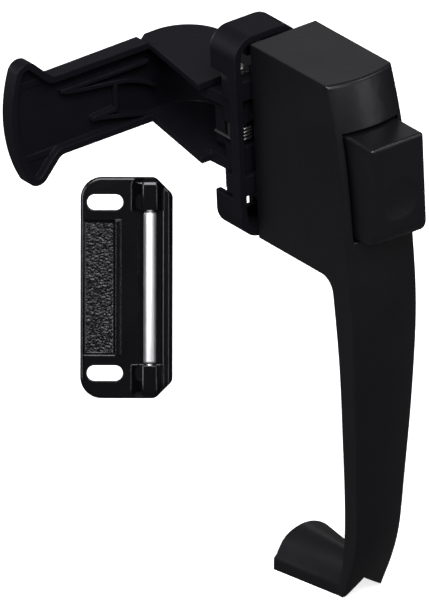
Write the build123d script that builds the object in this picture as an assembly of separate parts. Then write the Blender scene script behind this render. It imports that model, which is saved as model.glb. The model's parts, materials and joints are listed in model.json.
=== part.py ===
"""Push-button latch for a screen door: pull handle with push button, inside case
with its lever and latch nose, and a strike with a round bar.

Frame, in millimetres: +X along the door towards the strike jamb, +Y into the room,
+Z up. The origin lies on the door's outer face, midway between the two mounting
screws, on the axis of the push button.
"""
from build123d import *
import math
import os

# Mounting
SCREW_SPACING = 44.45
SCREW_D = 4.1
SCREW_HEAD_D = 7.6
SCREW_HEAD_H = 2.6
SCREW_REACH = 12.0
SCREW_CLEARANCE = 0.25
THREAD_CLEARANCE = 0.05

# Head of the pull handle
HEAD_W = 21.2
HEAD_TOP = 28.0
HEAD_BOTTOM = 28.4
HEAD_WALL = 1.7
HEAD_FRONT_WALL = 2.4
BOSS_D = 8.4
BOSS_LENGTH = 14.0

# Bow of the handle: distance of its front edges from the door, from the top down
BOW = [(28.0, 33.0), (14.0, 36.6), (-17.0, 39.6), (-38.0, 40.4), (-54.0, 39.4),
       (-74.0, 37.5), (-94.0, 35.1), (-108.0, 33.0), (-118.0, 29.4)]
CROWN_HEAD = 2.0
CROWN_TIP = 0.9

# Grip: half width, and the distance of its back from the door, from the head down
GRIP_HALF = [(-28.0, 10.5), (-54.0, 9.8), (-74.0, 8.8), (-94.0, 7.7), (-109.0, 6.9)]
GRIP_BACK = [(-38.0, 32.2), (-54.0, 32.5), (-74.0, 31.2), (-94.0, 29.5), (-109.0, 27.4)]
GRIP_ROOT_X = 31.6
GRIP_ROOT_R = 4.5
GRIP_EDGE_R = 1.1
TIP_Z = -126.6
TIP_HALF = 6.3
TIP_FRONT = 25.2
TIP_BACK = 22.5
NOTCH_APEX_X = -2.3
NOTCH_DEPTH = 6.5
NOTCH_BACK = 16.0

# Foot that stands on the door below the grip
FOOT_R = 10.4
FOOT_FRONT_HALF = 6.2
FOOT_REACH = 24.0
FOOT_SCREW_D = 4.2
FOOT_SCREW_DEPTH = 14.0
FOOT_SCREW_RISE = 4.4

# Push button
BUTTON_W = 16.8
BUTTON_TOP = 14.6
BUTTON_BOTTOM = 14.6
BUTTON_FACE = 48.9
BUTTON_SKIRT = 24.0
BUTTON_WALL = 1.8
BUTTON_FRONT_WALL = 2.4
BUTTON_EDGE_R = 0.8
BUTTON_TOE_R = 4.2
BUTTON_CLEARANCE = 0.6
DIMPLE_R = 6.4
DIMPLE_DEPTH = 0.55
DIMPLE_Z = -1.9

# Plunger stem, its ring, the spring and the plate that the spring stands on
STEM_D = 6.0
STEM_CLEARANCE = 0.2
STEM_SOCKET_D = 9.4
STEM_SOCKET_DEPTH = 12.0
PLATE_T = 1.2
PLATE_BACK = 3.4
PLATE_GAP = 0.25
PLATE_SCREW_D = 2.4
PLATE_SCREW_INSET = 4.225
PLATE_SCREW_DEPTH = 11.0
PLATE_EDGE_GAP = 0.3
RING_T = 0.8
RING_D = 10.0
RING_GROOVE = 0.7
SPRING_WIRE = 0.9
SPRING_TURNS = 7
SPRING_GAP = 0.1
SPRING_PLAY = 0.5

# Inside case
CASE_LEFT = 14.4
CASE_RIGHT = 6.2
CASE_H = 58.0
CASE_CORNER_R = 6.0
CASE_GAP = 2.0
CASE_DEPTH = 11.5
CASE_WALL = 2.0
CASE_WINDOW = 36.0
CASE_RAIL = 3.5
CASE_BOSS_D = 7.0
CASE_PORT_H = 7.5
CASE_EDGE_R = 1.0

# Pivot pin of the lever
PIN_X = -9.2
PIN_Y = 8.0
PIN_D = 4.0
PIN_FIT = 0.04
LUG_R = 4.4
LUG_INNER = 11.0
LUG_T = 5.5
PIN_RING_T = 0.7
PIN_RING_GAP = 0.2
PIN_RING_D = 6.2
PIN_RING_GROOVE = 0.5
PIN_END = 1.0

# Lever
LEVER_TOP = 13.1
LEVER_BOTTOM = -10.1
LEVER_SKIN = 2.2
LEVER_FLANGE = 1.9
ARM_Y = 48.2
ARM_FALL = 1.0
ARM_TIP_Y = ARM_Y - ARM_FALL
ARM_FLANGE_DEPTH = 4.2
NECK_TOP = (-43.6, LEVER_TOP)
NECK_BOTTOM = (-42.0, LEVER_BOTTOM)
FLARE_TOP = (-52.8, 22.2)
FLARE_END = (-57.2, 1.8)
FLARE_BOTTOM = (-50.2, -19.0)
FLARE_TIP_R = 3.6
FLARE_NECK_R = 3.0
ELBOW_X = 4.2
ELBOW_R = 13.0
ELBOW_FREE_X = -12.4
HOOD_FREE_X = -17.3
ARM_STEP_X = -11.6
ARM_STEP_DEPTH = 1.3
RIB_W = 1.1
RIB_H = 1.4
RIBS = [
    [(-40.6, 7.4), (-12.4, 7.3)],
    [(-39.6, 7.1), (-23.2, 4.6), (-17.1, 3.1), (-10.5, -0.4)],
    [(-31.0, -3.6), (-20.9, -5.8), (-12.6, -8.2)],
    [(-30.4, -3.6), (-23.2, -3.2)],
    [(-23.2, 4.6), (-23.2, -3.2)],
]
HOOD_FOOT_X = 10.2
HUB_R = 4.2
HUB_GAP = 0.2
HUB_SPLIT = 3.4
LEVER_FOOT_Y = 14.6
TAIL_HALF = 8.0
TAIL_FACE_Y = 4.5
TAIL_T = 4.6
TAIL_END_X = 3.4
CHEEK_H = 5.0
NOSE_X = 20.5
NOSE_Y = 16.0
NOSE_T = 4.4

# Torsion spring on the pin
LEVER_SPRING_WIRE = 0.9
LEVER_SPRING_TURNS = 4
LEVER_SPRING_PLAY = 0.5
LEVER_SPRING_LEG = 7.0

# Strike
STRIKE_W = 24.0
STRIKE_H = 57.6
STRIKE_CORNER_R = 5.6
STRIKE_CHAMFER = 4.5
STRIKE_T = 2.4
STRIKE_EDGE_R = 0.7
STRIKE_SLOT_L = 9.4
STRIKE_SLOT_W = 4.0
STRIKE_SLOT_X = -5.6
POCKET_LEFT = -11.2
POCKET_RIGHT = -2.9
POCKET_H = 35.0
POCKET_DEPTH = 0.8
POCKET_SLOPE = 30.0
RIDGE_X = -2.2
RIDGE_W = 1.4
RIDGE_H = 0.9
BAR_X = 6.1
BAR_D = 3.1
BAR_Y = 5.0
BAR_FIT = 0.03
BAR_SPAN = 40.4
BAR_GRIP = 6.6
KNUCKLE_FOOT = 4.8
KNUCKLE_CREST = 1.9
KNUCKLE_TOP = 7.2
KNUCKLE_EDGE_R = 0.7
KNUCKLE_END_R = 2.2
TROUGH_W = 6.0
TROUGH_DEPTH = 1.5
LIP_X = 10.6
LIP_W = 2.8
LIP_H = 2.0

# Place of the strike beside the latch, and the way that it faces
STRIKE_AT = (-52.9, 0.8, -29.1)
STRIKE_ACROSS = (0.7979, -0.6016, -0.0383)
STRIKE_FACING = (-0.5235, -0.7230, 0.4508)


def save(node, shape):
    """Write one node as its own file."""
    export_step(shape, os.path.join("parts", node + ".step"))


def rod(x, z, y_from, y_to, radius):
    """Round bar along Y between two places."""
    base = Plane(origin=(x, y_from, z), z_dir=(0, 1, 0))
    return extrude(base * Circle(radius), y_to - y_from)


def post(x, y, z_from, z_to, radius):
    """Round bar along Z between two heights."""
    base = Plane(origin=(x, y, z_from), z_dir=(0, 0, 1))
    return extrude(base * Circle(radius), z_to - z_from)


def block(x, y, z):
    """Box between two values on each axis."""
    size = (x[1] - x[0], y[1] - y[0], z[1] - z[0])
    middle = (sum(x) / 2, sum(y) / 2, sum(z) / 2)
    return Pos(*middle) * Box(*size)


def prism(points, z_from, z_to):
    """Straight-sided shape drawn in plan and raised between two heights."""
    outline = make_face(Polyline(*points, close=True))
    return extrude(Pos(0, 0, z_from) * outline, z_to - z_from)


def between(pairs, z):
    """Value at a height, straight between the listed heights."""
    pairs = sorted(pairs)
    z = min(max(z, pairs[0][0]), pairs[-1][0])
    for (z0, v0), (z1, v1) in zip(pairs, pairs[1:]):
        if z <= z1:
            return v0 + (v1 - v0) * (z - z0) / (z1 - z0)
    return pairs[-1][1]


def crown_at(z):
    """How far the middle of the bow stands proud of its edges."""
    return between([(TIP_Z, CROWN_TIP), (-HEAD_BOTTOM, CROWN_HEAD)], z)


def bow_section(z, edge):
    """Section of everything behind the crowned front, wider than the handle."""
    half = between(GRIP_HALF + [(HEAD_TOP, HEAD_W / 2), (TIP_Z, TIP_HALF)], z)
    crown = crown_at(z)
    radius = (half ** 2 + crown ** 2) / (2 * crown)
    reach = 0.65 * HEAD_W
    side = edge + crown - radius + math.sqrt(radius ** 2 - reach ** 2)
    outline = [
        Line((-reach, 2), (-reach, -side)),
        ThreePointArc((-reach, -side), (0, -edge - crown), (reach, -side)),
        Line((reach, -side), (reach, 2)),
        Line((reach, 2), (-reach, 2)),
    ]
    return Pos(0, 0, z) * make_face(outline)


def handle_side():
    """Side view: head, rounded root and the back of the grip."""
    back = [(-HEAD_BOTTOM, GRIP_ROOT_X)] + GRIP_BACK + [(TIP_Z, TIP_BACK)]
    far = BUTTON_FACE + 10
    front = [(0, -HEAD_BOTTOM), (0, HEAD_TOP), (-far, HEAD_TOP), (-far, TIP_Z), (-back[-1][1], TIP_Z)]
    outline = Polyline(*front)
    grip = Spline(*[(-n, z) for z, n in reversed(back)])
    under = Line((-back[0][1], -HEAD_BOTTOM), (0, -HEAD_BOTTOM))
    face = make_face(outline.edges() + [grip, under])
    root = face.vertices().sort_by_distance((-back[0][1], -HEAD_BOTTOM))[0]
    face = fillet(root, GRIP_ROOT_R)
    return extrude(Plane.YZ * face, HEAD_W, both=True)


def handle_front():
    """Front view: straight head, tapering grip and the notched tip."""
    half = HEAD_W / 2
    sides = [(half, -BUTTON_BOTTOM)] + [(w, z) for z, w in GRIP_HALF] + [(TIP_HALF, TIP_Z)]
    tip = TIP_HALF
    right = Spline(*sides)
    left = Spline(*[(-x, z) for x, z in sides])
    top = Polyline(sides[0], (half, HEAD_TOP), (-half, HEAD_TOP), (-half, -BUTTON_BOTTOM))
    notch = Polyline((-tip, TIP_Z), (NOTCH_APEX_X, TIP_Z + NOTCH_DEPTH), (tip, TIP_Z))
    face = make_face([right, left] + top.edges() + notch.edges())
    return extrude(Plane.XZ * face, BUTTON_FACE + HEAD_W)


def foot():
    """Post with a half-round section that grows towards the door."""
    sections = []
    turns = [math.pi * i / 8 for i in range(9)]
    for reach, half in [(0, FOOT_R), (FOOT_REACH, FOOT_FRONT_HALF)]:
        points = [(half * math.cos(a), TIP_Z + FOOT_R * math.sin(a)) for a in turns]
        arch = Spline(*points, tangents=[(0, 1), (0, -1)])
        flat = Line(points[-1], points[0])
        sections.append(Plane.XZ.offset(reach) * make_face([arch, flat]))
    return loft(sections)


def plate_half():
    """Half the height of the spring plate, which fits between the screw bosses."""
    return SCREW_SPACING / 2 - BOSS_D / 2 - PLATE_EDGE_GAP


def plate_screw_height():
    """Height of the spring plate's screws above the middle."""
    return plate_half() - PLATE_SCREW_INSET


def pull_handle():
    """Hollow head with its guide for the button, bowed grip and foot, cast as one."""
    slices = [(HEAD_TOP + 3, BOW[0][1] - 0.9)] + BOW + [(TIP_Z, TIP_FRONT), (TIP_Z - 2, TIP_FRONT - 0.9)]
    front = loft([bow_section(z, edge) for z, edge in slices])
    body = front & handle_side() & handle_front()
    face = body.faces().filter_by(lambda f: f.normal_at().Y < -0.8).sort_by(SortBy.AREA)[-1]
    long_edges = [e for e in face.edges() if e.length > 20 or abs(e.center().Z - HEAD_TOP) < 0.1]
    body = fillet(long_edges, GRIP_EDGE_R)
    body += foot()
    notch = make_face(Polyline((-TIP_HALF, TIP_Z - 0.01), (NOTCH_APEX_X, TIP_Z + NOTCH_DEPTH),
                               (TIP_HALF, TIP_Z - 0.01), close=True))
    body -= Pos(0, -NOTCH_BACK, 0) * extrude(Plane.XZ * notch, BUTTON_FACE)

    guide = BUTTON_W / 2 + BUTTON_CLEARANCE
    top = HEAD_TOP - HEAD_FRONT_WALL
    bottom = -HEAD_BOTTOM + HEAD_WALL
    inner = [(-(between(BOW, z) - HEAD_FRONT_WALL), z) for z in (top, BUTTON_TOP, -BUTTON_BOTTOM, bottom)]
    room = make_face(Polyline((1, top), *inner, (1, bottom), close=True))
    body -= extrude(Plane.YZ * room, guide, both=True)
    body -= block((-guide, guide), (-BUTTON_FACE, -BUTTON_SKIRT),
                  (-BUTTON_BOTTOM - BUTTON_CLEARANCE, BUTTON_TOP + BUTTON_CLEARANCE))

    plate_front = PLATE_BACK + PLATE_T
    for side in (-1, 1):
        z = side * SCREW_SPACING / 2
        body += rod(0, z, -BOSS_LENGTH, 0, BOSS_D / 2)
        wall = HEAD_TOP - HEAD_FRONT_WALL / 2 if side > 0 else -HEAD_BOTTOM + HEAD_WALL / 2
        body += block((-BOSS_D / 3, BOSS_D / 3), (-BOSS_LENGTH, 0), sorted((z, wall)))
        seat = sorted((side * (plate_screw_height() - 2.5), side * (SCREW_SPACING / 2 - BOSS_D / 4)))
        body += block((-BOSS_D / 2, BOSS_D / 2), (-BOSS_LENGTH, -plate_front), seat)
        body -= rod(0, z, -SCREW_REACH - 1.5, 1, SCREW_D / 2 + THREAD_CLEARANCE)
        body -= rod(0, side * plate_screw_height(), -PLATE_SCREW_DEPTH, 0, PLATE_SCREW_D / 2)
    body -= rod(0, TIP_Z + FOOT_SCREW_RISE, -FOOT_SCREW_DEPTH, 1, FOOT_SCREW_D / 2)
    return body


def push_button():
    """Hollow button block with a thumb dimple, a rounded toe and a socket for the stem."""
    half = BUTTON_W / 2
    side = Polyline((-BUTTON_SKIRT, BUTTON_TOP), (-BUTTON_FACE, BUTTON_TOP),
                    (-BUTTON_FACE, -BUTTON_BOTTOM), (-BUTTON_SKIRT, -BUTTON_BOTTOM), close=True)
    face = make_face(side)
    toe = face.vertices().sort_by_distance((-BUTTON_FACE, -BUTTON_BOTTOM))[0]
    face = fillet(toe, BUTTON_TOE_R)
    body = extrude(Plane.YZ * face, half, both=True)
    edges = [e for e in body.edges() if e.bounding_box().max.Y < -BUTTON_SKIRT - 0.1
             or e.bounding_box().size.Y > 10]
    body = fillet(edges, BUTTON_EDGE_R)
    ball = (DIMPLE_R ** 2 + DIMPLE_DEPTH ** 2) / (2 * DIMPLE_DEPTH)
    body -= Pos(0, -BUTTON_FACE - ball + DIMPLE_DEPTH, DIMPLE_Z) * Sphere(ball)
    floor = BUTTON_FACE - BUTTON_FRONT_WALL
    inner = half - BUTTON_WALL
    body -= block((-inner, inner), (-floor, 0), (-BUTTON_BOTTOM + BUTTON_WALL, BUTTON_TOP - BUTTON_WALL))
    body += rod(0, 0, -floor - 0.2, -floor + STEM_SOCKET_DEPTH, STEM_SOCKET_D / 2)
    body -= rod(0, 0, -floor, 0, STEM_D / 2)
    return body


def button_stem():
    """Steel plunger with a round nose and a groove for its ring."""
    front = -(BUTTON_FACE - BUTTON_FRONT_WALL)
    nose = TAIL_FACE_Y - STEM_CLEARANCE
    body = rod(0, 0, front, nose - STEM_D / 2, STEM_D / 2)
    body += Pos(0, nose - STEM_D / 2, 0) * Sphere(STEM_D / 2)
    near = -PLATE_BACK + PLATE_GAP
    collar = rod(0, 0, near, near + RING_T, STEM_D) - rod(0, 0, near, near + RING_T, STEM_D / 2 - RING_GROOVE)
    return body - collar


def open_ring(outer, inner, thickness):
    """Flat retaining ring with an open mouth, lying in plan."""
    body = extrude(Circle(outer) - Circle(inner), thickness)
    mouth = block((-inner * 0.85, inner * 0.85), (0, outer + 1), (-1, thickness + 1))
    return body - mouth


def stem_ring():
    """Retaining ring that holds the stem, and so the button, behind the plate."""
    near = -PLATE_BACK + PLATE_GAP
    ring = open_ring(RING_D / 2, STEM_D / 2 - RING_GROOVE, RING_T)
    return Pos(0, near + RING_T, 0) * Rot(90, 0, 0) * ring


def button_spring():
    """Compression spring round the stem, from the plate to the button's socket."""
    start = -PLATE_BACK - PLATE_T - SPRING_GAP - SPRING_WIRE / 2
    end = -(BUTTON_FACE - BUTTON_FRONT_WALL) + STEM_SOCKET_DEPTH + SPRING_GAP + SPRING_WIRE / 2
    radius = STEM_D / 2 + SPRING_PLAY + SPRING_WIRE / 2
    length = start - end
    path = Helix(pitch=length / SPRING_TURNS, height=length, radius=radius)
    section = Plane(origin=path @ 0, z_dir=path % 0) * RegularPolygon(SPRING_WIRE / 2, 8)
    coil = sweep(section, path=path, is_frenet=True)
    return Pos(0, start, 0) * Rot(90, 0, 0) * coil


def spring_plate():
    """Steel plate inside the head that guides the stem and carries its spring."""
    half_w = BUTTON_W / 2 + BUTTON_CLEARANCE - PLATE_EDGE_GAP
    outline = RectangleRounded(2 * half_w, 2 * plate_half(), 2)
    body = Pos(0, -PLATE_BACK, 0) * extrude(Plane.XZ * outline, PLATE_T)
    body -= rod(0, 0, -BUTTON_FACE, 1, STEM_D / 2 + STEM_CLEARANCE)
    for side in (-1, 1):
        body -= rod(0, side * plate_screw_height(), -BUTTON_FACE, 1, PLATE_SCREW_D / 2 + STEM_CLEARANCE)
    return body


def round_screw(thread_d, length, head_d, head_h):
    """Round-headed screw with a cross recess, standing on its thread, head up at zero."""
    body = extrude(Pos(0, 0, -length) * Circle(thread_d / 2), length)
    body = chamfer(body.edges().sort_by(Axis.Z)[0], thread_d * 0.15)
    cap_r = ((head_d / 2) ** 2 + head_h ** 2) / (2 * head_h)
    cap = Pos(0, 0, head_h - cap_r) * Sphere(cap_r)
    body += cap & block((-head_d, head_d), (-head_d, head_d), (0, head_h))
    slot = head_d * 0.14
    arm = head_d * 0.3
    for x, y in ((slot, arm), (arm, slot)):
        body -= block((-x, x), (-y, y), (head_h * 0.45, head_h + 1))
    return body


def mounting_screw(side):
    """Machine screw from the inside case into the boss of the head."""
    head_y = CASE_GAP + CASE_DEPTH
    screw = round_screw(SCREW_D, head_y + SCREW_REACH, SCREW_HEAD_D, SCREW_HEAD_H)
    return Pos(0, head_y, side * SCREW_SPACING / 2) * Rot(-90, 0, 0) * screw


def plate_screw(side):
    """Small screw that holds the spring plate on its ledge."""
    reach = PLATE_SCREW_DEPTH - PLATE_BACK - 0.5
    screw = round_screw(PLATE_SCREW_D, reach, 2 * PLATE_SCREW_D - 0.6, 1.3)
    return Pos(0, -PLATE_BACK, side * plate_screw_height()) * Rot(-90, 0, 0) * screw


def case_outline(inset):
    """Rounded outline of the case, moved inwards."""
    width = CASE_LEFT + CASE_RIGHT - 2 * inset
    middle = (CASE_RIGHT - CASE_LEFT) / 2
    return Pos(middle, 0) * RectangleRounded(width, CASE_H - 2 * inset, CASE_CORNER_R - inset)


def inside_case():
    """Frame on the room side: end blocks with screw bosses, and lugs for the pivot pin."""
    near = CASE_GAP
    far = CASE_GAP + CASE_DEPTH
    body = Pos(0, far, 0) * extrude(Plane.XZ * case_outline(0), CASE_DEPTH)
    body = fillet(body.faces().sort_by(Axis.Y)[-1].edges(), CASE_EDGE_R)
    body -= Pos(0, far - CASE_WALL, 0) * extrude(Plane.XZ * case_outline(CASE_WALL), CASE_DEPTH)

    window = CASE_WINDOW / 2
    body -= block((-CASE_LEFT - 1, CASE_RIGHT - CASE_WALL), (near + CASE_RAIL, far + 1), (-window, window))
    body -= block((0, CASE_RIGHT + 1), (near + CASE_RAIL + 1, far + 1), (-LUG_INNER, LUG_INNER))

    for side in (-1, 1):
        z = side * SCREW_SPACING / 2
        port = sorted((side * window, side * (window + CASE_PORT_H)))
        body -= block((-CASE_LEFT + CASE_WALL, -CASE_BOSS_D / 2), (far - CASE_WALL - 1, far + 1), port)
        body += rod(0, z, near, far - CASE_WALL / 2, CASE_BOSS_D / 2)
        body -= rod(0, z, near - 1, far + 1, SCREW_D / 2 + SCREW_CLEARANCE)
        low, high = sorted((side * LUG_INNER, side * (LUG_INNER + LUG_T)))
        body += post(PIN_X, PIN_Y, low, high, LUG_R)
        body += block((-CASE_LEFT, PIN_X + LUG_R), (near, PIN_Y), (low, high))
    body -= post(PIN_X, PIN_Y, -LUG_INNER, LUG_INNER, HUB_R + HUB_GAP)
    reach = LUG_INNER + LUG_T + 1
    body -= post(PIN_X, PIN_Y, -reach, reach, PIN_D / 2 + PIN_FIT / 2)
    return body


def pin_end():
    """Height of the pin's ends above the middle."""
    return LUG_INNER + LUG_T + PIN_RING_GAP + PIN_RING_T + PIN_END


def pivot_pin():
    """Straight steel pin with a ring groove near each end."""
    half = pin_end()
    body = post(PIN_X, PIN_Y, -half, half, PIN_D / 2)
    body = chamfer(body.edges().filter_by(GeomType.CIRCLE), 0.4)
    for side in (-1, 1):
        low = side * (LUG_INNER + LUG_T + PIN_RING_GAP)
        low, high = sorted((low, low + side * PIN_RING_T))
        core = post(PIN_X, PIN_Y, low, high, PIN_D / 2 - PIN_RING_GROOVE)
        body -= post(PIN_X, PIN_Y, low, high, PIN_D) - core
    return body


def pin_ring(side):
    """Retaining ring in one groove of the pivot pin."""
    low = side * (LUG_INNER + LUG_T + PIN_RING_GAP)
    low = min(low, low + side * PIN_RING_T)
    ring = open_ring(PIN_RING_D / 2, PIN_D / 2 - PIN_RING_GROOVE, PIN_RING_T)
    return Pos(PIN_X, PIN_Y, low) * Rot(0, 0, 180) * ring


def lever_wall(inset):
    """Plan line of the lever from its foot over the elbow to the end of the arm, moved inwards."""
    return FilletPolyline((HOOD_FOOT_X - inset, LEVER_FOOT_Y), (ELBOW_X - inset, ARM_Y - inset),
                          (FLARE_END[0] - 2, ARM_TIP_Y - inset), radius=ELBOW_R - inset)


def lever_outline():
    """Front view of the lever: parallel arm with a flared, rounded end."""
    right = HOOD_FOOT_X + 3
    arm = [NECK_BOTTOM, (right, LEVER_BOTTOM), (right, LEVER_TOP), NECK_TOP]
    straight = Polyline(FLARE_BOTTOM, *arm, FLARE_TOP)
    end = ThreePointArc(FLARE_TOP, FLARE_END, FLARE_BOTTOM)
    face = make_face(straight.edges() + [end])
    rounded = [((FLARE_TOP, FLARE_BOTTOM), FLARE_TIP_R), ((NECK_TOP, NECK_BOTTOM), FLARE_NECK_R)]
    for corners, radius in rounded:
        face = fillet([face.vertices().sort_by_distance(place)[0] for place in corners], radius)
    return face


def lever_rim():
    """Rim all round the arm and its flared end, on the side towards the door."""
    outline = lever_outline()
    ring = outline - offset(outline, -LEVER_FLANGE)
    ring &= Pos(-50 + ELBOW_FREE_X, 0) * Rectangle(100, 100)
    low = ARM_TIP_Y - ARM_FLANGE_DEPTH
    return Pos(0, ARM_TIP_Y - LEVER_SKIN / 2, 0) * extrude(Plane.XZ * ring, ARM_TIP_Y - LEVER_SKIN / 2 - low)


def hood_side():
    """Plan shape of the hood's side walls, from the arm down to the foot."""
    wall = lever_wall(LEVER_SKIN / 2)
    inner = ARM_TIP_Y - LEVER_SKIN
    free = ARM_TIP_Y - ARM_FLANGE_DEPTH
    line = Polyline(wall @ 1, (FLARE_END[0], inner), (ELBOW_FREE_X - 1, inner), (ELBOW_FREE_X, free),
                    (HOOD_FREE_X, LEVER_FOOT_Y), wall @ 0)
    return make_face(wall.edges() + line.edges())


def rib_along(points):
    """Low rib on the door side of the arm, drawn in the front view."""
    line = Polyline(*points) if len(points) == 2 else Spline(*points)
    strip = trace(line, RIB_W)
    top = ARM_TIP_Y - LEVER_SKIN / 2
    return Pos(0, top, 0) * extrude(Plane.XZ * strip, RIB_H + LEVER_SKIN / 2)


def inside_lever():
    """Paddle lever cast with its hood, hub, tail and latch nose."""
    outer = lever_wall(0)
    inner = lever_wall(LEVER_SKIN)
    caps = [Line(outer @ 0, inner @ 0), Line(outer @ 1, inner @ 1)]
    skin = extrude(make_face(outer.edges() + inner.edges() + caps), 2 * LEVER_TOP, both=True)
    frame = Pos(0, ARM_Y + 10, 0) * extrude(Plane.XZ * lever_outline(), ARM_Y + 20)
    body = skin & frame
    body += lever_rim()
    side_wall = hood_side()
    for low in (LEVER_BOTTOM, LEVER_TOP - LEVER_FLANGE):
        body += (Pos(0, 0, low) * extrude(side_wall, LEVER_FLANGE)) & frame
    for points in RIBS:
        body += rib_along(points)

    hub_end = LUG_INNER - HUB_GAP
    back = TAIL_FACE_Y + TAIL_T
    inside = HOOD_FOOT_X - LEVER_SKIN
    tail = [(PIN_X, TAIL_FACE_Y), (TAIL_END_X - 1, TAIL_FACE_Y), (TAIL_END_X, TAIL_FACE_Y + 1),
            (TAIL_END_X, PIN_Y), (HOOD_FOOT_X, LEVER_FOOT_Y), (HOOD_FOOT_X, LEVER_FOOT_Y + 3),
            (inside, LEVER_FOOT_Y + 3), (inside, LEVER_FOOT_Y + 1.6), (TAIL_END_X - 3, back), (PIN_X, back)]
    body += prism(tail, -TAIL_HALF, TAIL_HALF)
    catch = NOSE_Y - NOSE_T + 1
    nose = [(inside, LEVER_FOOT_Y), (HOOD_FOOT_X + 0.4, catch), (NOSE_X, catch), (NOSE_X, catch + 1.6),
            (NOSE_X - 6.5, NOSE_Y + 3), (inside, NOSE_Y + 3)]
    body += prism(nose, -TAIL_HALF, TAIL_HALF)
    top = LEVER_FOOT_Y + CHEEK_H
    cheek = [(PIN_X - HUB_R, PIN_Y), (PIN_X - HUB_R - 0.6, top), (inside + 0.5, top),
             (inside + 0.5, LEVER_FOOT_Y), (TAIL_END_X, PIN_Y)]
    joint = [(PIN_X - HUB_R - 0.6, LEVER_FOOT_Y + 0.6), (PIN_X - HUB_R - 0.6, top), (inside + 0.5, top),
             (inside + 0.5, LEVER_FOOT_Y + 0.6)]
    for side, wall in ((-1, LEVER_BOTTOM), (1, LEVER_TOP)):
        body += prism(cheek, *sorted((side * (TAIL_HALF - 0.5), side * hub_end)))
        body += prism(joint, *sorted((side * (TAIL_HALF - 0.5), wall - side * 0.5)))
    body += post(PIN_X, PIN_Y, -hub_end, hub_end, HUB_R)
    reach = PIN_X + HUB_R + 0.4
    body -= block((PIN_X - HUB_R - 5, reach), (0, LEVER_FOOT_Y), (-HUB_SPLIT, HUB_SPLIT))
    rib = PIN_X - PIN_D / 2 - LEVER_SPRING_PLAY + 0.05
    body += block((rib, rib + 1.8), (PIN_Y + HUB_R - 0.6, PIN_Y + LEVER_SPRING_LEG + 0.5),
                  (-HUB_SPLIT - 2, HUB_SPLIT + 2))
    body -= post(PIN_X, PIN_Y, -hub_end - 1, hub_end + 1, PIN_D / 2 + PIN_FIT)
    vee = Polyline((ARM_STEP_X - ARM_STEP_DEPTH, LEVER_TOP + 0.01), (ARM_STEP_X, LEVER_TOP - ARM_STEP_DEPTH),
                   (ARM_STEP_X + ARM_STEP_DEPTH, LEVER_TOP + 0.01), close=True)
    body -= Pos(0, ARM_Y + 1, 0) * extrude(Plane.XZ * make_face(vee), ARM_FLANGE_DEPTH + 4)
    return body


def lever_spring():
    """Torsion spring round the pin, one leg on the rail of the case, one in the hood."""
    radius = PIN_D / 2 + LEVER_SPRING_PLAY + LEVER_SPRING_WIRE / 2
    height = LEVER_SPRING_TURNS * (LEVER_SPRING_WIRE + 0.12)
    path = Helix(pitch=height / LEVER_SPRING_TURNS, height=height, radius=radius)
    section = Plane(origin=path @ 0, z_dir=path % 0) * RegularPolygon(LEVER_SPRING_WIRE / 2, 8)
    coil = sweep(section, path=path, is_frenet=True)
    coil = Pos(PIN_X, PIN_Y, -height / 2) * Rot(0, 0, 180) * coil
    wire = LEVER_SPRING_WIRE / 2
    rail = PIN_Y - math.sqrt((HUB_R + HUB_GAP) ** 2 - (radius + wire) ** 2)
    coil += rod(PIN_X - radius, height / 2, rail + 0.05, PIN_Y + 0.4, wire - 0.01)
    coil += rod(PIN_X - radius, -height / 2, PIN_Y - 0.4, PIN_Y + LEVER_SPRING_LEG, wire - 0.01)
    return coil


def strike_frame():
    """Plane of the strike: X across it, Y along its length, Z out of its face."""
    return Plane(origin=STRIKE_AT, x_dir=STRIKE_ACROSS, z_dir=STRIKE_FACING)


def strike_outline():
    """Outline of the strike: round corners on the flat side, cut corners beside the bar."""
    flat = make_face(Rectangle(STRIKE_W, STRIKE_H).edges())
    flat = fillet([v for v in flat.vertices() if v.X < 0], STRIKE_CORNER_R)
    flat = chamfer([v for v in flat.vertices() if v.X > STRIKE_W / 2 - 0.01], STRIKE_CHAMFER)
    cuts = [v for v in flat.vertices() if v.X > STRIKE_W / 2 - STRIKE_CHAMFER - 0.01]
    return fillet(cuts, STRIKE_CHAMFER / 2)


def along_strike(section, low, high):
    """Section across the strike, drawn as width and height, drawn out along its length."""
    return Pos(0, high, 0) * extrude(Plane.XZ * section, high - low)


def strike_lip():
    """Section of the raised lip on the far side of the bar."""
    half = LIP_W / 2
    crest = STRIKE_T + LIP_H
    points = [(LIP_X - half, STRIKE_T / 2), (LIP_X - half, crest), (LIP_X + half / 3, crest),
              (LIP_X + half, STRIKE_T + LIP_H / 3), (LIP_X + half, STRIKE_T / 2)]
    section = make_face(Polyline(*points, close=True))
    return fillet([v for v in section.vertices() if v.Y > crest - 0.01], LIP_W / 5)


def strike_knuckle(side):
    """Block over one end of the bar, with sloping sides and a crest as wide as the bar."""
    points = [(BAR_X - KNUCKLE_FOOT, STRIKE_T), (BAR_X - KNUCKLE_CREST, KNUCKLE_TOP),
              (BAR_X + KNUCKLE_CREST, KNUCKLE_TOP), (BAR_X + KNUCKLE_FOOT, STRIKE_T),
              (BAR_X + KNUCKLE_FOOT, STRIKE_T / 2), (BAR_X - KNUCKLE_FOOT, STRIKE_T / 2)]
    section = make_face(Polyline(*points, close=True))
    crest = [v for v in section.vertices() if v.Y > KNUCKLE_TOP - 0.01]
    section = fillet(crest, KNUCKLE_EDGE_R)
    low, high = sorted((side * BAR_SPAN / 2, side * STRIKE_H / 2))
    body = along_strike(section, low, high)
    end = [e for e in body.faces().sort_by(Axis.Y)[0 if side < 0 else -1].edges()
           if e.center().Z > KNUCKLE_TOP - 0.01]
    return fillet(end, KNUCKLE_END_R)


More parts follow.
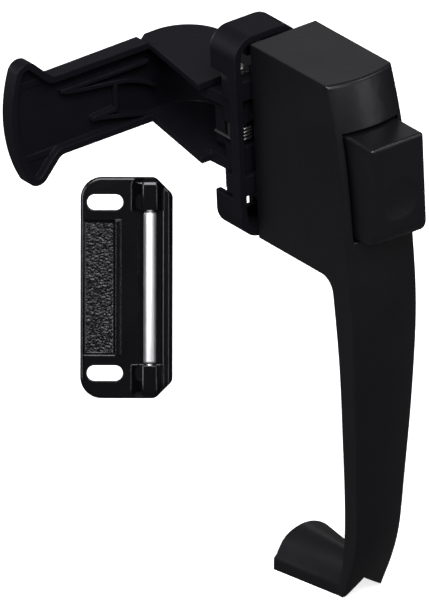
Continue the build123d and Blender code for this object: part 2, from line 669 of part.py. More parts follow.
def strike_plate():
    """Strike with two slots, a pebbled pocket, a ridge, two knuckles and a raised lip."""
    outline = strike_outline()
    body = extrude(outline, STRIKE_T)
    rim = body.faces().sort_by(Axis.Z)[-1].edges()
    body = fillet(rim, STRIKE_EDGE_R)
    raised = along_strike(strike_lip(), -STRIKE_H / 2, STRIKE_H / 2)
    for side in (-1, 1):
        raised += strike_knuckle(side)
        slot = Pos(STRIKE_SLOT_X, side * SCREW_SPACING / 2) * SlotOverall(STRIKE_SLOT_L, STRIKE_SLOT_W)
        body -= extrude(Pos(0, 0, -1) * slot, STRIKE_T + 2)
    body += raised & extrude(offset(outline, -STRIKE_EDGE_R / 2), KNUCKLE_TOP + 1)
    pocket = Rectangle(POCKET_RIGHT - POCKET_LEFT, POCKET_H)
    pocket = Pos((POCKET_LEFT + POCKET_RIGHT) / 2, 0, STRIKE_T) * pocket
    body -= extrude(pocket, -POCKET_DEPTH, taper=POCKET_SLOPE)
    ridge = (RIDGE_X - RIDGE_W / 2, RIDGE_X + RIDGE_W / 2)
    body += block(ridge, (-POCKET_H / 2, POCKET_H / 2), (STRIKE_T / 2, STRIKE_T + RIDGE_H))
    trough = (BAR_X - TROUGH_W / 2, BAR_X + TROUGH_W / 2)
    body -= block(trough, (-BAR_SPAN / 2, BAR_SPAN / 2), (STRIKE_T - TROUGH_DEPTH, KNUCKLE_TOP))
    hole = Cylinder(BAR_D / 2 + BAR_FIT, BAR_SPAN + 2 * BAR_GRIP + 0.4)
    body -= Pos(BAR_X, 0, BAR_Y) * Rot(90, 0, 0) * hole
    return strike_frame() * body


def strike_bar():
    """Bright round bar held between the knuckles."""
    length = BAR_SPAN + 2 * BAR_GRIP
    return strike_frame() * Pos(BAR_X, 0, BAR_Y) * Rot(90, 0, 0) * Cylinder(BAR_D / 2, length)


def main():
    os.makedirs("parts", exist_ok=True)
    save("pull_handle", pull_handle())
    save("push_button", push_button())
    save("button_stem", button_stem())
    save("stem_ring", stem_ring())
    save("button_spring", button_spring())
    save("spring_plate", spring_plate())
    save("inside_case", inside_case())
    save("pivot_pin", pivot_pin())
    save("inside_lever", inside_lever())
    save("lever_spring", lever_spring())
    for name, side in (("upper", 1), ("lower", -1)):
        save("mounting_screw_" + name, mounting_screw(side))
        save("plate_screw_" + name, plate_screw(side))
        save("pin_ring_" + name, pin_ring(side))
    save("strike_plate", strike_plate())
    save("strike_bar", strike_bar())


main()
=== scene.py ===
# %% [markdown]
# # A push-button latch for a screen door
#
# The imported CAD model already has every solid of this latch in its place: the pull
# handle with its push button, the case with its lever for the room side, and the strike
# with its round bar. This lesson dresses that model. It loads the solids, gives each one
# a finish made of shader nodes and rounds the edges of the castings. Then it adds what
# the solids leave out: springs of round wire, the bar's rounded ends and the pebbled
# skin of the strike. All lengths are in metres, so sizes are written as 3.1 * MM.

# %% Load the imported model
import json
import math

import bpy
from mathutils import Matrix, Vector


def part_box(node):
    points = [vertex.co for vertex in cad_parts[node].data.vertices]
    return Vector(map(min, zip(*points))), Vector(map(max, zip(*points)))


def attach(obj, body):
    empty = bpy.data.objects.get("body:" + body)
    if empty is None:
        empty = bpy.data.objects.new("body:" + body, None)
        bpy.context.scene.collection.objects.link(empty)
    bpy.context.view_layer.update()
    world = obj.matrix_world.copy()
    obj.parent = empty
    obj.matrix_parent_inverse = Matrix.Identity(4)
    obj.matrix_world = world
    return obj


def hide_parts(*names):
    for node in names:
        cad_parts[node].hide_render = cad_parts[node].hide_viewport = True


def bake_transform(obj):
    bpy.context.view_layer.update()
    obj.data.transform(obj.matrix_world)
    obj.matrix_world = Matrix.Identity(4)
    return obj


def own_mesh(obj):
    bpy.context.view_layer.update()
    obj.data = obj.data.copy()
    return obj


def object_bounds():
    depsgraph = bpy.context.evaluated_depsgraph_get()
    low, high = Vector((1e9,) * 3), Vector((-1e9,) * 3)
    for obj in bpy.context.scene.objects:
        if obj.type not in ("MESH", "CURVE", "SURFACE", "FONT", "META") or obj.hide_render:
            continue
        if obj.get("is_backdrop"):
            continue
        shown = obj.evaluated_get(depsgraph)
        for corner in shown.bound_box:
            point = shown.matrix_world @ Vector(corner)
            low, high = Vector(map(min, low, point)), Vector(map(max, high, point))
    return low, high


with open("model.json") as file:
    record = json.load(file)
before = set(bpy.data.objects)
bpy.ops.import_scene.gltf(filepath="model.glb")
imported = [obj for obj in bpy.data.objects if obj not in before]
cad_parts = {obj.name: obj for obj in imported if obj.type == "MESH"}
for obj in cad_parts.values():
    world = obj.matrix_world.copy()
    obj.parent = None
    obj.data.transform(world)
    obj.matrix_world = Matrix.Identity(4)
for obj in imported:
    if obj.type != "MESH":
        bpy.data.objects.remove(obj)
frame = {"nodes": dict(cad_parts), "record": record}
cad_low, cad_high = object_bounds()
nodes = frame["nodes"]
MM = 0.001
print("nodes:", len(nodes), "size in mm:", [round(v / MM) for v in cad_high - cad_low])

# %% [markdown]
# Operators work on whatever is selected, and loading leaves every solid selected. So
# one small helper clears the selection, and another makes a single object active, which
# is what a click on it would do. By hand one would then click on edges or faces in edit
# mode. A script has no mouse, so the other helpers select by a test on place or normal,
# which still holds when the mesh gets more faces.


# %% Helpers for selecting
def select_nothing():
    """Leave no object selected or active."""
    for thing in bpy.context.selected_objects:
        thing.select_set(False)
    bpy.context.view_layer.objects.active = None


def pick(thing):
    """Select one object alone and make it active."""
    select_nothing()
    thing.select_set(True)
    bpy.context.view_layer.objects.active = thing


def add_modifier(thing, kind, **settings):
    """Add a modifier with its settings and apply it at once."""
    pick(thing)
    modifier = thing.modifiers.new(kind.title(), kind)
    for name, value in settings.items():
        setattr(modifier, name, value)
    bpy.ops.object.modifier_apply(modifier=modifier.name)


def start_selection(thing, kind):
    """Clear the selection inside a mesh, set to vertices, edges or faces."""
    pick(thing)
    bpy.ops.object.mode_set(mode="EDIT")
    bpy.ops.mesh.select_mode(type=kind)
    bpy.ops.mesh.select_all(action="DESELECT")
    bpy.ops.object.mode_set(mode="OBJECT")


def select_edges(thing, keep):
    """Go into edit mode with only the edges selected whose two ends pass a test."""
    start_selection(thing, "EDGE")
    points = thing.data.vertices
    for edge in thing.data.edges:
        first, second = edge.vertices
        edge.select = keep(points[first].co, points[second].co)
    bpy.ops.object.mode_set(mode="EDIT")


def select_faces(thing, keep):
    """Go into edit mode with only the faces selected that pass a test."""
    start_selection(thing, "FACE")
    for face in thing.data.polygons:
        face.select = keep(face)
    bpy.ops.object.mode_set(mode="EDIT")


def select_vertex(thing, rank):
    """Go into edit mode with one vertex selected: the one that a rule ranks highest."""
    start_selection(thing, "VERT")
    max(thing.data.vertices, key=rank).select = True
    bpy.ops.object.mode_set(mode="EDIT")


select_nothing()
print("selected objects:", len(bpy.context.selected_objects))

# %% [markdown]
# Every finish here is a network of nodes. Wiring them by hand in Python is long, so one
# small class wraps a socket and lets it stand in a sum: `height * 0.5 + 1` adds two Math
# nodes. A second class is the material itself, with one method that adds any node: its
# settings come first, then the values or links of its sockets.


# %% Shader sums as Python expressions
class Signal:
    """A node's output that can be used in sums like a number."""

    def __init__(self, finish, socket):
        self.finish = finish
        self.socket = socket

    def maths(self, operation, first, second=0.0):
        return self.finish.node("ShaderNodeMath", {"operation": operation}, {0: first, 1: second})

    def __add__(self, other):
        return self.maths("ADD", self, other)

    def __radd__(self, other):
        return self.maths("ADD", other, self)

    def __sub__(self, other):
        return self.maths("SUBTRACT", self, other)

    def __rsub__(self, other):
        return self.maths("SUBTRACT", other, self)

    def __mul__(self, other):
        return self.maths("MULTIPLY", self, other)

    def __rmul__(self, other):
        return self.maths("MULTIPLY", other, self)


class Finish:
    """The nodes of a material or a world, added one call at a time."""

    def __init__(self, owner):
        owner.use_nodes = True
        self.owner = owner
        self.tree = owner.node_tree
        self.tree.nodes.clear()

    def place(self):
        """Return the place on the object, in metres."""
        return self.node("ShaderNodeTexCoord", out="Object")

    def seen(self):
        """Return 1 for what the camera sees, also through glass, and 0 for other light."""
        direct = self.node("ShaderNodeLightPath", out="Is Camera Ray")
        return direct + self.node("ShaderNodeLightPath", out="Is Transmission Ray")

    def node(self, kind, settings=None, sockets=None, out=0):
        """Add a node of this type and return one of its outputs."""
        made = self.tree.nodes.new(kind)
        for name, value in (settings or {}).items():
            setattr(made, name, value)
        for name, value in (sockets or {}).items():
            if isinstance(value, Signal):
                self.tree.links.new(value.socket, made.inputs[name])
            else:
                made.inputs[name].default_value = value
        return Signal(self, made.outputs[out]) if len(made.outputs) else None

    def between(self, value, low, high):
        """Stretch the part of a signal from low to high over 0 to 1, with smooth ends."""
        return self.node("ShaderNodeMapRange", {"interpolation_type": "SMOOTHSTEP"},
                         {"Value": value, "From Min": low, "From Max": high}, out="Result")

    def mix(self, factor, first, second):
        """Blend two colours."""
        sockets = {0: factor, 6: first, 7: second}
        return self.node("ShaderNodeMix", {"data_type": "RGBA"}, sockets, out=2)

    def noise(self, size, detail=2.0, place=None):
        """Soft noise whose blobs are about this many metres across."""
        sockets = {"Vector": place or self.place(), "Scale": 1 / size, "Detail": detail}
        return self.node("ShaderNodeTexNoise", None, sockets)

    def surface(self, **sockets):
        """Close the network with a Principled shader and return the material."""
        names = {name.replace("_", " "): value for name, value in sockets.items()}
        shader = self.node("ShaderNodeBsdfPrincipled", None, names)
        self.node("ShaderNodeOutputMaterial", None, {"Surface": shader})
        return self.owner


print("signals and finishes are ready")

# %% [markdown]
# Black paint on a zinc casting is never one flat black. It lies in a soft orange peel,
# the metal under it has a faint cast grain, it is a little duller where dust and hands
# reach it, and it is thinner and slightly greyer along the edges. That lighter edge
# colour is partly this real wear and partly a painted highlight, which draws the edges
# as light lines whatever the lamps do. A Bevel node finds the edges: it returns the
# normal as if the edge were rounded, so where that differs from the true normal, there
# is an edge. The same rounded normal carries the fine bump. Painting the wear by hand
# would give one piece one look, and noise gives all of them the same kind of look. The
# sizes below are those of the blobs of each noise.


# %% Black paint
EDGE_SAMPLES = 6
EDGE_STARTS = 0.02
EDGE_FULL = 0.25
PAINT_EDGE = 0.45 * MM
CLOUD_SIZE = 14 * MM
EDGE_WEAR_AND_HIGHLIGHT_SIZE = 3 * MM
PEEL_SIZE = 1.9 * MM
GRAIN_SIZE = 0.45 * MM
PAINT_BUMP = 0.1 * MM
CLOUD_ROUGHNESS = 0.10
GRAIN_ROUGHNESS = 0.06
WEAR_POLISH = 0.08


def opaque(colour, factor=1.0):
    """Colour made darker or lighter, with the fourth value that a socket needs."""
    return [part * factor for part in colour] + [1]


def edge_of(finish, radius):
    """Rounded normal, and a mask that is 1 on edges."""
    settings = {"samples": EDGE_SAMPLES}
    rounded = finish.node("ShaderNodeBevel", settings, {"Radius": radius}, out="Normal")
    flat = finish.node("ShaderNodeNewGeometry", out="Normal")
    same = finish.node("ShaderNodeVectorMath", {"operation": "DOT_PRODUCT"},
                       {0: rounded, 1: flat}, out="Value")
    return rounded, finish.between(1 - same, EDGE_STARTS, EDGE_FULL)


def bump_of(finish, height, depth, normal):
    """Normal that leans as if the surface rose and fell by this height."""
    sockets = {"Strength": 1.0, "Distance": depth, "Height": height, "Normal": normal}
    return finish.node("ShaderNodeBump", None, sockets)


def black_paint(name, colour, edge_wear_and_highlight_colour, dull, grain, peel, shine=0.5):
    """Paint with orange peel, cast grain, and lighter edges that are partly wear and partly a
    painted highlight.
    """
    finish = Finish(bpy.data.materials.new(name))
    rounded, edge = edge_of(finish, PAINT_EDGE)
    cloud = finish.noise(CLOUD_SIZE, 3)
    speck = finish.noise(GRAIN_SIZE, 2)
    # Mask for the lighter edge colour: partly real wear, partly a painted highlight along the
    # edges.
    wear_and_highlight = edge * finish.between(finish.noise(EDGE_WEAR_AND_HIGHLIGHT_SIZE, 3), 0.35, 0.75)
    body = finish.mix(cloud, opaque(colour, 0.8), opaque(colour, 1.25))
    worn_and_highlit = finish.mix(wear_and_highlight, body, opaque(edge_wear_and_highlight_colour))
    cloudy = (cloud - 0.5) * CLOUD_ROUGHNESS
    grainy = (speck - 0.5) * GRAIN_ROUGHNESS
    rough = dull + cloudy + grainy - wear_and_highlight * WEAR_POLISH
    height = finish.noise(PEEL_SIZE, 1) * peel + speck * grain
    bump = bump_of(finish, height, PAINT_BUMP, rounded)
    return finish.surface(Base_Color=worn_and_highlit, Roughness=rough, Normal=bump,
                          Specular_IOR_Level=shine)


black_satin = black_paint("satin_black_paint", colour=(0.0025, 0.0023, 0.0034),
                          edge_wear_and_highlight_colour=(0.014, 0.013, 0.016),
                          dull=0.33, grain=0.10, peel=0.35, shine=0.70)
black_case = black_paint("dull_black_paint", colour=(0.0066, 0.0061, 0.0084),
                         edge_wear_and_highlight_colour=(0.018, 0.017, 0.021),
                         dull=0.44, grain=0.16, peel=0.30, shine=0.14)
# The gloss paint's edge colour is set well above its body colour, so its edges carry a painted
# highlight as light lines, besides some wear.
black_gloss = black_paint("gloss_black_paint", colour=(0.0016, 0.0014, 0.0023),
                          edge_wear_and_highlight_colour=(0.024, 0.023, 0.026),
                          dull=0.11, grain=0.02, peel=0.16, shine=0.42)
black_screw = black_paint("black_oxide", colour=(0.015, 0.015, 0.016),
                          edge_wear_and_highlight_colour=(0.06, 0.06, 0.06),
                          dull=0.38, grain=0.05, peel=0.10)
print("paints:", black_satin.name, black_case.name, black_gloss.name, black_screw.name)

# %% [markdown]
# The bar of the strike is the one bright piece, with a light satin plating. The small
# fittings inside are zinc plated, which is greyer and slightly cloudy, and the springs
# are oiled steel wire. An image of scratches would have to be fitted to each piece. One
# function makes all three instead: a metal with cloudy plating and fine scratches that
# run one way, made by stretching a noise along one axis.


# %% Bright metals
METAL_EDGE = 0.2 * MM
SCRATCH_SIZE = 0.35 * MM
SCRATCH_STRETCH = 30.0
SCRATCH_BUMP = 0.02 * MM
PLATING_CLOUD = 5 * MM
PLATING_ROUGHNESS = 0.08
SCRATCH_ROUGHNESS = 0.06
EDGE_ROUGHNESS = 0.03


def metal(name, colour, dark, rough, scratch, run):
    """Metal with cloudy plating and scratches drawn along one axis."""
    finish = Finish(bpy.data.materials.new(name))
    rounded, edge = edge_of(finish, METAL_EDGE)
    scale = [1 / SCRATCH_STRETCH if axis == run else 1.0 for axis in "xyz"]
    sockets = {"Vector": finish.place(), "Scale": scale}
    along = finish.node("ShaderNodeMapping", None, sockets)
    line = finish.noise(SCRATCH_SIZE, 2, along)
    cloud = finish.noise(PLATING_CLOUD, 3)
    tint = finish.mix(finish.between(cloud, 0.3, 0.7), opaque(dark), opaque(colour))
    bump = bump_of(finish, line * scratch, SCRATCH_BUMP, rounded)
    cloudy = (cloud - 0.5) * PLATING_ROUGHNESS
    scratched = (line - 0.5) * SCRATCH_ROUGHNESS
    return finish.surface(Base_Color=tint, Metallic=1.0, Normal=bump,
                          Roughness=rough + cloudy + scratched + edge * EDGE_ROUGHNESS)


bright_bar = metal("bright_plating", colour=(0.96, 0.96, 0.96), dark=(0.90, 0.90, 0.91),
                   rough=0.46, scratch=0.15, run="z")
plated_steel = metal("zinc_plating", colour=(0.62, 0.62, 0.60), dark=(0.50, 0.51, 0.51),
                     rough=0.32, scratch=0.35, run="y")
spring_steel = metal("oiled_wire", colour=(0.42, 0.41, 0.40), dark=(0.30, 0.29, 0.28),
                     rough=0.34, scratch=0.30, run="y")
print("metals:", bright_bar.name, plated_steel.name, spring_steel.name)

# %% [markdown]
# The record that is packed with the model names a finish slot for every solid. The slots
# could be filled in by hand, one object after another. Reading them from the record
# keeps the picture and the record in step.

# %% Give each solid its finish
finishes = {"black_satin": black_satin, "black_case": black_case, "black_gloss": black_gloss,
            "black_screw": black_screw, "bright_bar": bright_bar, "plated_steel": plated_steel,
            "spring_steel": spring_steel}


def dress(thing, material):
    """Show an object in one material."""
    if not thing.material_slots:
        thing.data.materials.append(material)
    for slot in thing.material_slots:
        slot.material = material


slot_of = {part["node"]: part["material_slot"] for part in frame["record"]["subparts"]}
for name, thing in nodes.items():
    dress(thing, finishes[slot_of[name]])
print("dressed:", len(slot_of))

# %% [markdown]
# The photograph was taken from the left, from above and from far away, so that hardly
# any perspective shows. The camera stands almost five metres off with a very long lens. Its
# three axes come from the direction it looks from and from a slight roll. It is then
# moved aside until the latch stands where the photograph, 429 by 600, has it. A camera
# that tracks a target would be quicker to set up, but it can't hold the roll. The sensor
# is as wide as the longer side of the frame, so the lens follows from the focal length
# in pixels.

# %% Camera
AZIMUTH = math.radians(-35.3711)
ELEVATION = math.radians(27.0785)
ROLL = math.radians(-2.5789)
AWAY = 4.8
ASIDE = (18.9032 * MM, 44.7147 * MM)
FOCAL_PIXELS = 18404.8
FRAME_HEIGHT = 600

back = Vector((math.sin(AZIMUTH) * math.cos(ELEVATION),
               -math.cos(AZIMUTH) * math.cos(ELEVATION),
               math.sin(ELEVATION)))
level = Vector((math.cos(AZIMUTH), math.sin(AZIMUTH), 0))
upright = back.cross(level)
right = level * math.cos(ROLL) + upright * math.sin(ROLL)
up = upright * math.cos(ROLL) - level * math.sin(ROLL)
lens = bpy.data.cameras.new("camera")
lens.sensor_width = 36.0
lens.lens = FOCAL_PIXELS / FRAME_HEIGHT * lens.sensor_width
lens.clip_start = 0.1
lens.clip_end = 100
camera = bpy.data.objects.new("camera", lens)
bpy.context.scene.collection.objects.link(camera)
camera.matrix_world = Matrix((right, up, back)).transposed().to_4x4()
camera.location = back * AWAY - right * ASIDE[0] - up * ASIDE[1]
bpy.context.scene.camera = camera
bpy.context.scene.view_settings.view_transform = "Standard"
print("lens in mm:", round(lens.lens), "camera at:", [round(v, 3) for v in camera.location])

# %% [markdown]
# The background is plain white. The floor is a wide flat plane at the latch's lowest
# point, and the world stands in for the backdrop. Stronger lamps would also turn them
# white, but they would wash out the black paint. So both are white only in what the
# camera sees, by its Light Path, and dim for all other light. The floor's white is a
# colour with some glow, not glow alone, so the latch still casts its shadow on it.
# Mirrored light finds the dim room, because in the photograph the black paint does too.

# %% Floor and backdrop
FLOOR_SIZE = 8
FLOOR_GREY = [0.08, 0.08, 0.08, 1]
FLOOR_GLOW = [0.8, 0.8, 0.8, 1]
WHITE = [1, 1, 1, 1]
BLACK = [0, 0, 0, 1]
AMBIENT = 0.11

bpy.ops.mesh.primitive_plane_add(size=FLOOR_SIZE, location=(0, 0, cad_low.z))
floor = bpy.context.active_object
floor.name = "floor"
pick(floor)
bpy.ops.object.transform_apply(location=True, rotation=True, scale=True)
floor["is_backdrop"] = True

white = Finish(bpy.data.materials.new("white_floor"))
seen = white.seen()
base = white.mix(seen, FLOOR_GREY, WHITE)
glow = white.mix(seen, BLACK, FLOOR_GLOW)
dress(floor, white.surface(Base_Color=base, Emission_Color=glow, Emission_Strength=1.0,
                           Roughness=0.9, Specular_IOR_Level=0.0))

studio = Finish(bpy.data.worlds.new("studio"))
strength = AMBIENT + studio.seen() * (1 - AMBIENT)
sky = studio.node("ShaderNodeBackground", None, {"Color": WHITE, "Strength": strength})
studio.node("ShaderNodeOutputWorld", None, {"Surface": sky})
bpy.context.scene.world = studio.owner
print("floor at height in mm:", round(cad_low.z / MM, 1))

# %% [markdown]
# A black casting shows little of its own colour. What the eye reads as its shape is the
# reflection of the lamps, so their places matter more than their strength. Sunlight
# would give one hard reflection. Area lamps are used, as in a photographer's studio:
# large ones from the left and from behind for the broad faces, and small weak ones that
# each draw one highlight, on the front of the head, along its edges and on its top.


# %% Lamps
COOL_WHITE = (1.0, 0.98, 1.03)
middle = (cad_low + cad_high) / 2


def lamp(name, place, size, power):
    """Square soft lamp that shines from one place at the middle of the latch."""
    light = bpy.data.lights.new(name, "AREA")
    light.size = size
    light.energy = power
    light.color = COOL_WHITE
    thing = bpy.data.objects.new(name, light)
    bpy.context.scene.collection.objects.link(thing)
    thing.location = place
    thing.rotation_mode = "QUATERNION"
    thing.rotation_quaternion = (middle - Vector(place)).to_track_quat("-Z", "Y")


lamp("key_lamp", place=(-0.6, -1.0, 1.4), size=1.0, power=32)
lamp("side_lamp", place=(-1.5, -0.3, 0.9), size=0.7, power=12)
lamp("low_lamp", place=(0.75, -1.3, 0.0), size=0.5, power=1.15)
lamp("front_lamp", place=(0.15, -1.8, 0.65), size=0.35, power=2.0)
lamp("edge_lamp", place=(0.93, -0.82, 1.25), size=0.3, power=2.6)
lamp("rear_lamp", place=(-0.5, 1.9, 0.0), size=1.0, power=12)
lamp("top_lamp", place=(0.95, 1.3, 0.85), size=0.5, power=0.28)

# %% [markdown]
# The castings of the real latch have no knife edges: every edge is rounded by the die
# and filled by paint, and that thin rounding is what catches the light. The solids have
# their large roundings already. The fine ones are added here to a copy of each solid:
# its loose triangles are merged, flat areas are joined into single faces, and a Bevel
# modifier rounds what is sharper than a limit. Modelling the castings again would only
# repeat the solids, so a bevelled copy was chosen.


# %% Rounded copies of the castings
SAME_POINT = 0.002 * MM
FLAT = math.radians(0.3)
SHARP = math.radians(34)


def merged_copy(node, name):
    """Copy of a solid with its triangles joined, ready for modelling."""
    thing = bpy.data.objects.new(name, nodes[node].data.copy())
    bpy.context.scene.collection.objects.link(thing)
    pick(thing)
    bpy.ops.mesh.customdata_custom_splitnormals_clear()
    bpy.ops.object.mode_set(mode="EDIT")
    bpy.ops.mesh.select_all(action="SELECT")
    bpy.ops.mesh.remove_doubles(threshold=SAME_POINT)
    bpy.ops.mesh.dissolve_limited(angle_limit=FLAT)
    bpy.ops.object.mode_set(mode="OBJECT")
    return thing


def rounded_casting(node, body, width, shape=None):
    """Show a solid as a copy with fine rounded edges, after a shaping step of its own."""
    thing = merged_copy(node, node + "_casting")
    if shape:
        shape(thing)
    add_modifier(thing, "BEVEL", width=width, segments=3, limit_method="ANGLE",
                 angle_limit=SHARP, use_clamp_overlap=True, miter_outer="MITER_ARC")
    pick(thing)
    bpy.ops.object.shade_smooth_by_angle(angle=SHARP)
    add_modifier(thing, "WEIGHTED_NORMAL", weight=90, keep_sharp=True)
    dress(thing, finishes[slot_of[node]])
    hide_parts(node)
    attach(thing, body)
    print(thing.name, "faces:", len(thing.data.polygons))


rounded_casting("inside_lever", "lever", 0.4 * MM)
rounded_casting("inside_case", "frame", 0.35 * MM)
rounded_casting("pull_handle", "frame", 0.65 * MM)
rounded_casting("push_button", "button", 0.3 * MM)

# %% [markdown]
# The strike is screwed to the jamb, and the lever's nose catches behind its bar. It lies
# turned in the photograph. Its own directions are X across it, Y along it and Z out of
# its face, and one matrix lays what is made in them in place. Its pocket has no hard rim.
# One Bevel modifier can't give it a wide rounding and the other edges a fine one. So the
# rim and the foot of the pocket's slopes are selected by their height and bevelled
# widely first, and the modifier rounds the rest.

# %% Strike plate
ACROSS = Vector((0.7979, -0.6016, -0.0383)).normalized()
FACING = Vector((-0.5235, -0.7230, 0.4508)).normalized()
STRIKE_AT = Vector((-52.9, 0.8, -29.1)) * MM
strike_place = Matrix((ACROSS, FACING.cross(ACROSS), FACING)).transposed().to_4x4()
strike_place.translation = STRIKE_AT
PLATE_FACE = 2.4 * MM
POCKET_FLOOR = 1.6 * MM
POCKET_MIDDLE = -7.05 * MM
POCKET_WIDTH = 8.3 * MM
POCKET_LENGTH = 35.0 * MM
RIM_ROUNDING = 0.7 * MM
FOOT_ROUNDING = 0.5 * MM
NEAR = 0.02 * MM


def soften_pocket(thing):
    """Round the rim of the pocket, then the foot of its slopes."""
    into = strike_place.inverted()
    for height, width in ((PLATE_FACE, RIM_ROUNDING), (POCKET_FLOOR, FOOT_ROUNDING)):
        def on_pocket(point):
            """Tell whether a point is on this level of the pocket."""
            local = into @ point
            level = abs(local.z - height) < NEAR
            inside = abs(local.x - POCKET_MIDDLE) < POCKET_WIDTH / 2 + NEAR
            return level and inside and abs(local.y) < POCKET_LENGTH / 2 + NEAR

        select_edges(thing, lambda first, second: on_pocket(first) and on_pocket(second))
        bpy.ops.mesh.bevel(offset=width, segments=4, clamp_overlap=True)
        bpy.ops.object.mode_set(mode="OBJECT")


rounded_casting("strike_plate", "frame", 0.3 * MM, shape=soften_pocket)

# %% [markdown]
# The strike's bar is a round rod between two knuckles. The solid is one plain cylinder.
# Here a thick rod with rounded ends fills the window, and a thinner pin carries it into
# the knuckles. A lathe would turn it from one bar, and Spin would do the same from a
# drawn profile. A cylinder is quicker: its ends are inset and extruded into pins, and
# the rims are bevelled. It is made upright at the origin, turned along the strike and
# then laid in place.

# %% Bar
BAR_AT = (6.1 * MM, 0, 5.0 * MM)
ROD_RADIUS = 1.62 * MM
ROD_LENGTH = 39.6 * MM
PIN_LENGTH = 6.6 * MM
PIN_STEP = 0.7 * MM
END_ROUNDING = 0.65 * MM


def lay_on_strike(thing):
    """Move a piece from the origin to the strike."""
    thing.matrix_world = strike_place
    pick(thing)
    bpy.ops.object.transform_apply(location=True, rotation=True, scale=True)


def on_rod_end(first, second):
    """Tell whether an edge runs round the outer rim of one of the rod's ends."""
    rim = min(first.xy.length, second.xy.length) > 0.99 * ROD_RADIUS
    return rim and abs(first.z - second.z) < 0.1 * MM


bpy.ops.mesh.primitive_cylinder_add(vertices=64, radius=ROD_RADIUS, depth=ROD_LENGTH)
bar = bpy.context.active_object
bar.name = "bright_rod"
select_faces(bar, lambda face: abs(face.normal.z) > 0.9)
bpy.ops.mesh.inset(thickness=PIN_STEP)
bpy.ops.mesh.extrude_region_shrink_fatten(TRANSFORM_OT_shrink_fatten={"value": PIN_LENGTH})
bpy.ops.object.mode_set(mode="OBJECT")
select_edges(bar, on_rod_end)
bpy.ops.mesh.bevel(offset=END_ROUNDING, segments=5)
bpy.ops.mesh.select_all(action="SELECT")
bpy.ops.transform.rotate(value=math.radians(90), orient_axis="X", center_override=(0, 0, 0))
bpy.ops.transform.translate(value=BAR_AT)
bpy.ops.object.mode_set(mode="OBJECT")
lay_on_strike(bar)
bpy.ops.object.shade_smooth_by_angle(angle=math.radians(40))
dress(bar, bright_bar)
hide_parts("strike_bar")
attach(bar, "frame")
print("bar length in mm:", round(max(bar.dimensions) / MM, 1))

# %% [markdown]
# The strike's long pocket has a pebbled skin, cast to give the paint something to hold.
# A bump in the paint could fake it, but its outline would stay flat. Here it is a fine
# grid over the pocket's floor. A Displace modifier lifts it by a Voronoi texture, whose
# cells are the pebbles, and a Solidify modifier makes it a closed sheet. Its border runs
# on under the slopes, so that it doesn't show.

# %% Pebbled skin in the strike's pocket
PEBBLE_SIZE = 0.27 * MM
PEBBLE_HEIGHT = 0.12 * MM
SKIN_THICKNESS = 0.2 * MM
SKIN_LIFT = 0.08 * MM
SKIN_MARGIN = 0.5 * MM

bpy.ops.mesh.primitive_grid_add(x_subdivisions=84, y_subdivisions=360, size=1)
skin = bpy.context.active_object
skin.name = "pebbled_skin"
skin.scale = (POCKET_WIDTH - SKIN_MARGIN, POCKET_LENGTH - SKIN_MARGIN, 1)
pick(skin)
bpy.ops.object.transform_apply(location=True, rotation=True, scale=True)
pebbles = bpy.data.textures.new("pebbles", "VORONOI")
pebbles.noise_scale = PEBBLE_SIZE
pebbles.distance_metric = "DISTANCE"
add_modifier(skin, "DISPLACE", texture=pebbles, texture_coords="LOCAL",
             strength=-PEBBLE_HEIGHT, mid_level=0.5)
add_modifier(skin, "SMOOTH", factor=0.2, iterations=1)
add_modifier(skin, "SOLIDIFY", thickness=SKIN_THICKNESS, offset=-1)
skin.location = (POCKET_MIDDLE, 0, POCKET_FLOOR + SKIN_LIFT)
pick(skin)
bpy.ops.object.transform_apply(location=True, rotation=True, scale=True)
lay_on_strike(skin)
bpy.ops.object.shade_smooth_by_angle(angle=math.radians(60))
dress(skin, black_gloss)
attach(skin, "frame")
print("pebbled skin faces:", len(skin.data.polygons))

# %% [markdown]
# Both springs are wound from round wire, and the solids only stand in for them with
# eight sides. A helix could be typed in as a formula. By hand it is one point that a
# Screw modifier sweeps into a spiral line, and the line becomes a curve whose bevel
# gives the wire its thickness. The open ends are capped, and the doubles that the caps
# leave are merged.


# %% Helpers for winding wire
WIRE = 0.9 * MM
STEPS_PER_TURN = 24


def spiral(name, radius, height, turns, start_angle):
    """Line that climbs round the Z axis, as a mesh of edges."""
    bpy.ops.mesh.primitive_circle_add(vertices=3, radius=radius)
    thing = bpy.context.active_object
    thing.name = name
    bpy.ops.object.mode_set(mode="EDIT")
    bpy.ops.mesh.select_mode(type="VERT")
    bpy.ops.mesh.select_all(action="SELECT")
    bpy.ops.mesh.merge(type="CENTER")
    start = (radius * math.cos(start_angle), radius * math.sin(start_angle), 0)
    bpy.ops.transform.translate(value=start)
    bpy.ops.object.mode_set(mode="OBJECT")
    steps = STEPS_PER_TURN * turns
    add_modifier(thing, "SCREW", axis="Z", angle=math.tau * turns, screw_offset=height,
                 steps=steps, render_steps=steps, use_merge_vertices=False)
    return thing


def wire(thing, thickness, node):
    """Turn a line of edges into round wire and let it stand for a solid."""
    pick(thing)
    bpy.ops.object.convert(target="CURVE")
    curve = bpy.context.active_object
    curve.data.bevel_depth = thickness / 2
    curve.data.bevel_resolution = 3
    curve.data.use_fill_caps = True
    bpy.ops.object.convert(target="MESH")
    made = bpy.context.active_object
    bpy.ops.object.transform_apply(location=True, rotation=True, scale=True)
    bpy.ops.object.mode_set(mode="EDIT")
    bpy.ops.mesh.select_all(action="SELECT")
    bpy.ops.mesh.remove_doubles(threshold=0.001 * MM)
    bpy.ops.mesh.normals_make_consistent(inside=False)
    bpy.ops.object.mode_set(mode="OBJECT")
    bpy.ops.object.shade_smooth_by_angle(angle=math.radians(50))
    dress(made, spring_steel)
    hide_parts(node)
    print(made.name, "vertices:", len(made.data.vertices))
    return made


print("wire in mm:", WIRE / MM)

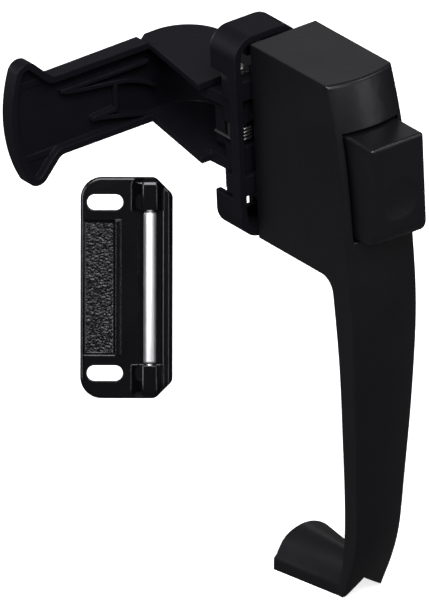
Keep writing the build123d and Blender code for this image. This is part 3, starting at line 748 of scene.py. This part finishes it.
# %% [markdown]
# The button's spring is a compression spring, which pushes the button out again. Its two
# end turns are closed, one wire against the next, so that it stands square, and the
# turns between them share the rest of its length. When the button slides in, the
# spring gets shorter, and its far end stays on the spring plate. The spring takes its
# place and length from the solid, and it is attached to the frame's body.

# %% Button's spring
TURNS = 9
CLOSED_PITCH = 1.02 * WIRE

low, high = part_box("button_spring")
coil_radius = (high.z - low.z) / 2 - WIRE / 2
length = high.y - low.y - WIRE
open_pitch = (length - 2 * CLOSED_PITCH) / (TURNS - 2)
button_coil = spiral("button_spring_wire", coil_radius, length, TURNS, 0)
for point in button_coil.data.vertices:
    turn = point.co.z / length * TURNS
    closed = min(turn, 1) + max(turn - (TURNS - 1), 0)
    point.co.z = closed * CLOSED_PITCH + (turn - closed) * open_pitch
button_coil.rotation_euler = (math.radians(90), 0, 0)
button_coil.location = (0, high.y - WIRE / 2, 0)
button_coil = wire(button_coil, WIRE, "button_spring")
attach(button_coil, "frame")
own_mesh(button_coil)
print("button spring in mm:", round((high.y - low.y) / MM, 1))

# %% [markdown]
# The lever's spring is a torsion spring round the pivot pin. One leg presses on the
# case, the other on the lever, and its turns tighten as the lever swings. The coil is
# wound round the pin, and each end of the wire is extruded straight to the end of the
# solid's leg. The wire is left in place, on neither body.

# %% Lever's spring
PIN = Vector((-9.2 * MM, 8.0 * MM, 0))
PIN_RADIUS = 2.0 * MM
COIL_PLAY = 0.5 * MM
COIL_TURNS = 4
COIL_PITCH = 1.02 * MM

coil_height = COIL_TURNS * COIL_PITCH
coil_radius = PIN_RADIUS + COIL_PLAY + WIRE / 2
low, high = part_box("lever_spring")
lever_coil = spiral("lever_spring_wire", coil_radius, coil_height, COIL_TURNS, math.pi)
lever_coil.location = PIN - Vector((0, 0, coil_height / 2))
pick(lever_coil)
bpy.ops.object.transform_apply(location=True, rotation=True, scale=True)
for leg_end, side in ((low.y, 1), (high.y, -1)):
    select_vertex(lever_coil, lambda point: side * point.co.z)
    reach = (0, leg_end - PIN.y, 0)
    bpy.ops.mesh.extrude_vertices_move(TRANSFORM_OT_translate={"value": reach})
    bpy.ops.object.mode_set(mode="OBJECT")
lever_coil = wire(lever_coil, WIRE, "lever_spring")
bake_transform(lever_coil)
print("lever coil in mm:", round(coil_height / MM, 1))

# %% [markdown]
# The box round all that shows is measured and kept beside the box of the solids. The two
# should agree, because nothing here is meant to reach past the model.

# %% Measure and finish
low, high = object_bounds()
print("visual size in mm:", [round(v / MM) for v in high - low])
